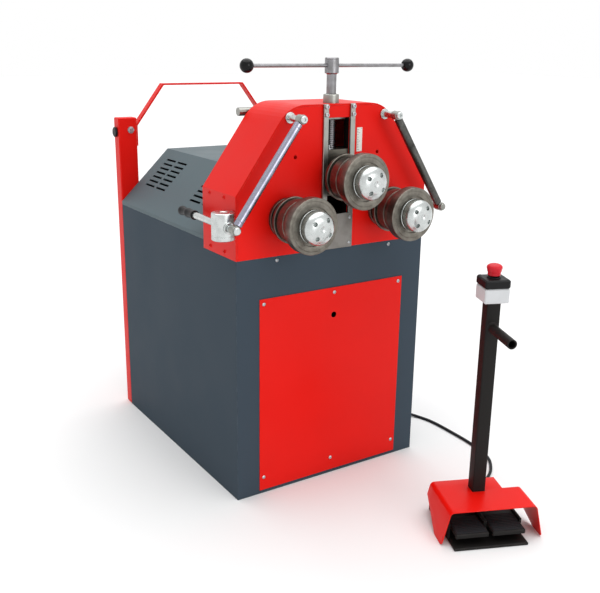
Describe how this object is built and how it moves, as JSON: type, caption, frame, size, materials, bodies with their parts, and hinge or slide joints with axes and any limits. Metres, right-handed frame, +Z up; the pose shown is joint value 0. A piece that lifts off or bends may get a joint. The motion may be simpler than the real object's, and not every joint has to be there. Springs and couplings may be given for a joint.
{
  "type": "ring roller",
  "caption": "Three-roller ring and section bender: red head on a slate cabinet, pressed upper roller, side guides, and a foot console with a stop button.",
  "frame": {"origin": "middle of the cabinet's underside, on the floor", "axes": "+Z up; -Y out of the front, along the roller shafts; +X to the right as seen from the front"},
  "size_m": [0.979, 1.571, 1.341],
  "materials": {
    "slate_paint": "satin powder coat",
    "red_paint": "satin powder coat",
    "roller_steel": "turned, dark",
    "bright_steel": "ground",
    "chrome": "polished",
    "gear_steel": "machined",
    "black_plastic": "moulded",
    "black_paint": "fine texture",
    "grey_plastic": "moulded",
    "red_plastic": "gloss",
    "cord_rubber": "matt",
    "cast_iron": "painted casting"
  },
  "bodies": {
    "frame": {"cabinet_shell": "slate_paint", "front_panel": "red_paint", "drive_hood": "slate_paint", "head_cover": "red_paint", "head_front_plate": "red_paint", "head_rear_plate": "red_paint", "slot_cover": "bright_steel", "gib_strip_left": "bright_steel", "gib_strip_right": "bright_steel", "screw_nut": "bright_steel", "bearing_flange_left": "roller_steel", "bearing_flange_right": "roller_steel", "guide_foot_left": "chrome", "guide_foot_right": "bright_steel", "guide_top_pin_left": "bright_steel", "guide_top_pin_right": "bright_steel", "guide_axle_left": "bright_steel", "guide_axle_right": "bright_steel", "rear_post_left": "red_paint", "rear_post_right": "red_paint", "rear_hoop": "red_paint", "lifting_bar": "gear_steel", "gear_motor": "cast_iron", "cable_gland": "black_plastic", "foot_cord": "cord_rubber", "strain_relief": "black_plastic", "console_base": "black_paint", "console_guard": "red_paint", "console_column": "black_paint", "stop_box": "grey_plastic", "stop_lid": "black_plastic"},
    "ram": {"ram_block": "roller_steel"},
    "screw": {"press_screw": "bright_steel", "handle_bar": "bright_steel", "ball_knob_left": "black_plastic", "ball_knob_right": "black_plastic"},
    "upper_roller": {"upper_shaft": "gear_steel", "upper_inner_ring": "roller_steel", "upper_outer_ring": "roller_steel", "upper_dome_nut": "chrome"},
    "left_roller": {"lower_shaft_left": "gear_steel", "lower_left_inner_ring": "roller_steel", "lower_left_outer_ring": "roller_steel", "lower_left_dome_nut": "chrome", "drive_wheel_left": "gear_steel"},
    "right_roller": {"lower_shaft_right": "gear_steel", "lower_right_inner_ring": "roller_steel", "lower_right_outer_ring": "roller_steel", "lower_right_dome_nut": "chrome", "drive_wheel_right": "gear_steel"},
    "pinion": {"drive_pinion": "gear_steel"},
    "left_sleeve": {"guide_sleeve_left": "bright_steel"},
    "right_sleeve": {"guide_sleeve_right": "bright_steel"},
    "foot_lock": {"lock_rod": "bright_steel", "lock_grip": "black_plastic"},
    "left_pedal": {"pedal_left": "black_paint"},
    "right_pedal": {"pedal_right": "black_paint"},
    "button": {"stop_plunger": "black_plastic"},
    "button_head": {"stop_mushroom": "red_plastic"}
  },
  "joints": [
    {"name": "ram_slide", "type": "slide", "parent": "frame", "child": "ram", "axis": [0, 0, 1], "range_m": [-0.0551, 0.0801]},
    {"name": "screw_turn", "type": "hinge", "parent": "ram", "child": "screw", "pos_m": [0, -0.394, 1.3185], "axis": [0, 0, 1], "range_deg": [-3300, 4800]},
    {"name": "upper_roller_spin", "type": "hinge", "parent": "ram", "child": "upper_roller", "pos_m": [0, -0.435, 0.999], "axis": [0, 1, 0], "continuous": true},
    {"name": "left_roller_spin", "type": "hinge", "parent": "frame", "child": "left_roller", "pos_m": [-0.181, -0.435, 0.887], "axis": [0, 1, 0], "continuous": true},
    {"name": "right_roller_spin", "type": "hinge", "parent": "frame", "child": "right_roller", "pos_m": [0.181, -0.435, 0.887], "axis": [0, 1, 0], "continuous": true},
    {"name": "pinion_spin", "type": "hinge", "parent": "frame", "child": "pinion", "pos_m": [0, -0.435, 0.80192], "axis": [0, 1, 0], "continuous": true},
    {"name": "left_guide_spin", "type": "hinge", "parent": "frame", "child": "left_sleeve", "pos_m": [-0.386, -0.495, 0.882], "axis": [0.5903, 0, 0.8072], "continuous": true},
    {"name": "right_guide_spin", "type": "hinge", "parent": "frame", "child": "right_sleeve", "pos_m": [0.366, -0.495, 0.882], "axis": [-0.5527, 0, 0.8334], "continuous": true},
    {"name": "foot_lock_turn", "type": "hinge", "parent": "frame", "child": "foot_lock", "pos_m": [-0.386, -0.435, 0.882], "axis": [0, 1, 0], "range_deg": [0, 90]},
    {"name": "left_pedal_press", "type": "hinge", "parent": "frame", "child": "left_pedal", "pos_m": [0.20197, -0.92157, 0.04], "axis": [0.9205, -0.3907, 0], "range_deg": [0, 7], "stiffness_Nm_per_rad": 4, "springref_deg": -17.19},
    {"name": "right_pedal_press", "type": "hinge", "parent": "frame", "child": "right_pedal", "pos_m": [0.20197, -0.92157, 0.04], "axis": [0.9205, -0.3907, 0], "range_deg": [0, 7], "stiffness_Nm_per_rad": 4, "springref_deg": -17.19},
    {"name": "stop_press", "type": "slide", "parent": "frame", "child": "button", "axis": [0, 0, -1], "range_m": [0, 0.005]},
    {"name": "stop_twist", "type": "hinge", "parent": "button", "child": "button_head", "pos_m": [0.209, -0.905, 0.79], "axis": [0, 0, 1], "range_deg": [-30, 0], "stiffness_Nm_per_rad": 0.02, "springref_deg": 2.86}
  ],
  "couplings": [
    {"joint": "ram_slide", "follows": "screw_turn", "m_per_rad": 0.00095493},
    {"joint": "right_roller_spin", "follows": "left_roller_spin", "ratio": 1},
    {"joint": "pinion_spin", "follows": "left_roller_spin", "ratio": -1.6316}
  ]
}
